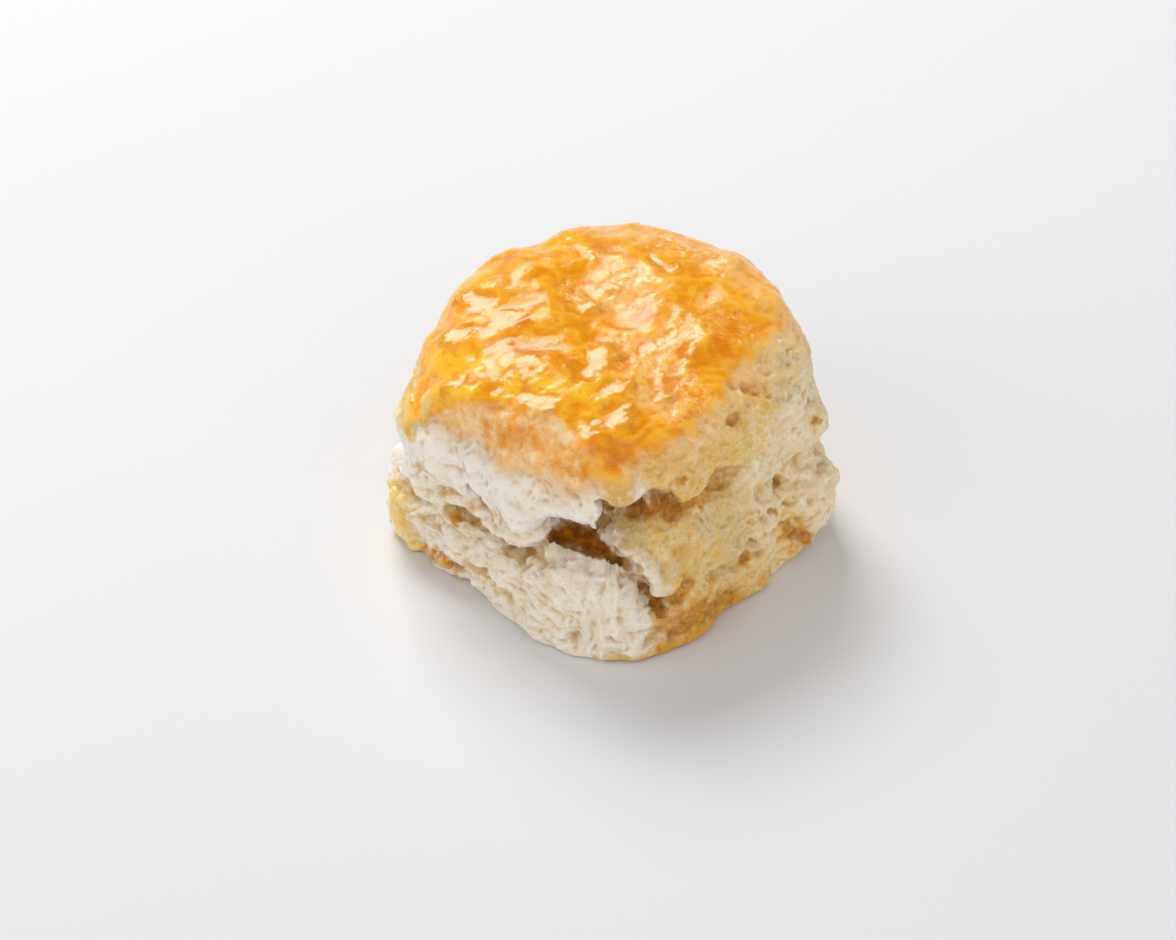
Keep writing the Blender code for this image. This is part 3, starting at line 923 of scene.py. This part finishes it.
# %% Coats of crumb
CRUMB = [
    ("#F0E3CA", (3.0, 0.38, 0.62)),                 # cream, in patches of a few millimetres
    ("#E2CA9A", (1.6, 0.54, 0.70), 0.3),            # baked a shade darker here and there
    ("#B98A48", (0.45, 0.51, 0.71), 0.3),           # specks at the mouths of pores
    ("#F7F0E4", "flour", (5.0, 0.25, 0.45), 0.9),   # flour from rolling out
    ("#D9B479", "tan", (1.6, 0.30, 0.55), 0.9),     # tanned pits
    ("#D2B276", "sandy_and_shade", 0.9),                      # the sandy front of the right flank, with painted shade over the whole side
    ("#B08840", "sandy_and_shade", (0.6, 0.48, 0.70), 0.6),   # and its coarse specks
    ("#E6B873", "fade", "fade", 0.8),               # the crust's colour fading out below its edge
    ("#F0D28C", "yellow", 0.6),                     # butter that seeped in, pale yellow
    ("#ECBE58", "yellow", (2.2, 0.40, 0.64), 0.9),  # stronger in patches
    ("#D89C3A", "yellow", (0.6, 0.52, 0.70), 0.5),  # with amber specks
    ("#DA9E26", "soak", (2.4, 0.15, 0.45)),         # crumb soaked through
    ("#AE6C00", "soak", "soak", (1.1, 0.34, 0.62), 0.9),  # darkest where most butter stood
    ("#B87610", "lip_shade", 0.95),                     # painted shade: the band under the nose's lip
    ("#8C5000", "lip_shade", (1.8, 0.34, 0.62), 0.8),   # painted shade, mottled darker brown
    ("#DDB26A", "crease_shade", 0.5),                     # painted shade in the creases
    ("#B8801C", "recess_shade", 0.7),                     # painted shade in the recesses
    ("#8C5606", "soak", "recess_shade"),                  # soaked crumb, with painted shade in the recesses
]

# %% Coats of crust
DRY_CRUST = [
    ("#FFDCA8", (2.0, 0.38, 0.56), 0.9),            # a dusting of flour
    ("#EE9C30", "toast", (2.6, 0.34, 0.62)),        # toasted where the dome leans out
    ("#C97820", "toast", (0.5, 0.50, 0.72), 0.5),   # brown specks
]
BUTTERED_CRUST = [
    ("#EE9204", "fold_shade"),                            # painted shade: deeper orange in the folds
    ("#F09404", (3.2, 0.48, 0.60), 0.6),            # orange in patches
    ("#FFCA7C", "hazy_sheen", (2.0, 0.28, 0.52), 0.65),   # painted sheen: a pale haze of reflected light, over a thin milky sheet
    ("#FFD9A0", "grainy_glints", (0.6, 0.48, 0.60), 0.4),  # painted highlight: pale glints on the grainy crust
    ("#E68604", "caramel", (3.0, 0.3, 0.6)),        # caramel spots
    ("#FFC424", "bright", (5.0, 0.30, 0.55), 0.9),  # clear yellow where butter stands
    ("#EA9A1C", "flat", 0.8),                       # one even tone under the mirrors
]
EVERY_CRUST = [
    ("#EA9008", "crease_shade", 0.5),                     # painted shade in the creases
    ("#C46404", (1.4, 0.60, 0.75), 0.4),            # scorched dots
    ("#FFDC9C", (0.36, 0.56, 0.70), 0.2),           # pale grit
]

# %% Last coats
LAST = [
    ("#B4700C", "cavity_shade"),                          # painted shade inside the cavity
    ("#824A00", "cavity_shade", (1.6, 0.38, 0.58)),       # painted shade, darker in patches
    ("#F2CE78", "pale", 0.9),                       # butter running down in front of flour
    ("#D8A022", "bead", (1.2, 0.20, 0.50), 0.85),   # beads and drips
]


def skin_colour(tree, where):
    """The colour of the crumb and, over it, of the dry and the buttered crust."""
    crumb = coats(tree, where, linear("#F6EFE1"), CRUMB)
    dry = coats(tree, where, linear("#F7C274"), DRY_CRUST)
    gold = coats(tree, where, linear("#FFB82A"), BUTTERED_CRUST)
    crust = coats(tree, where, dry, [(gold, "wet")] + EVERY_CRUST)
    return coats(tree, where, crumb, [(crust, "crust")] + LAST)


# %% [markdown]
# ## Baked dough
#
# Bread is a dry foam of starch: matt, with a soft edge between light and shadow, because light
# wanders about a millimetre inside it. So the shader has subsurface scattering of that reach, a
# high roughness and an IOR below that of solid starch, 1.53, since most of a foam is air. Its
# grain is 0.45 mm, about the size of its smallest pores, which is all the bump has to add.
# Only where butter soaked in does a thin coat give it a wet shine.

# %% Baked dough
baked, tree, shader = new_material("baked dough")
where = add_node(tree, "ShaderNodeTexCoord").outputs["Object"]
tree.links.new(skin_colour(tree, where), shader.inputs["Base Color"])
shader.inputs["Roughness"].default_value = 0.55
shader.inputs["IOR"].default_value = 1.28
shader.inputs["Subsurface Weight"].default_value = 0.5
shader.inputs["Subsurface Radius"].default_value = (1.0, 0.85, 0.6)
shader.inputs["Subsurface Scale"].default_value = 1.1 * MM
grain = add_node(tree, "ShaderNodeTexNoise", Vector=where, Scale=1.0 / (0.45 * MM), Detail=4.0,
                 Roughness=0.65)
bump = add_node(tree, "ShaderNodeBump", Height=grain.outputs["Fac"], Strength=0.8, Distance=0.3 * MM)
tree.links.new(bump.outputs["Normal"], shader.inputs["Normal"])
tree.links.new(mask(tree, where, "soak", 0.6), shader.inputs["Coat Weight"])
shader.inputs["Coat Roughness"].default_value = 0.2
dough.data.materials.append(baked)

# %% [markdown]
# ## Melted butter
#
# Melted butter is an oil with drops of water in it: smooth, clear and yellow. The eye knows it by
# sharp white highlights that end abruptly at each wrinkle. Its IOR is near 1.45 in a glass, and
# 1.38 here, because a sheet on crumb is never whole. It is smoothest where it stands in a hollow
# and follows the crust's grit, drawn at 0.4 mm so that it shows, where it is thin.

# %% Melted butter
butter, tree, shader = new_material("melted butter")
where = add_node(tree, "ShaderNodeTexCoord").outputs["Object"]
tree.links.new(skin_colour(tree, where), shader.inputs["Base Color"])
wetness = mask(tree, where, "wet", "mirror")
gloss = add_node(tree, "ShaderNodeMapRange", Value=wetness, **{"To Min": 0.13, "To Max": 0.08})
tree.links.new(gloss.outputs["Result"], shader.inputs["Roughness"])
shader.inputs["IOR"].default_value = 1.38
grain = add_node(tree, "ShaderNodeTexNoise", Vector=where, Scale=1.0 / (0.4 * MM), Detail=3.0)
smooth = add_node(tree, "ShaderNodeMapRange", Value=wetness, **{"To Min": 0.42, "To Max": 0.24})
bump = add_node(tree, "ShaderNodeBump", Height=grain.outputs["Fac"], Strength=smooth.outputs["Result"],
                Distance=0.2 * MM)
tree.links.new(bump.outputs["Normal"], shader.inputs["Normal"])
film.data.materials.append(butter)

# %% [markdown]
# ## Hand the pieces over
#
# Each piece is given the body that carries it. The imported solid is hidden, the dough
# stands in its place, and the film lies on it.

# %% Hand the pieces over
for piece, slot in ((dough, "crumb"), (film, "butter")):
    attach(piece, "root")
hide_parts("biscuit")
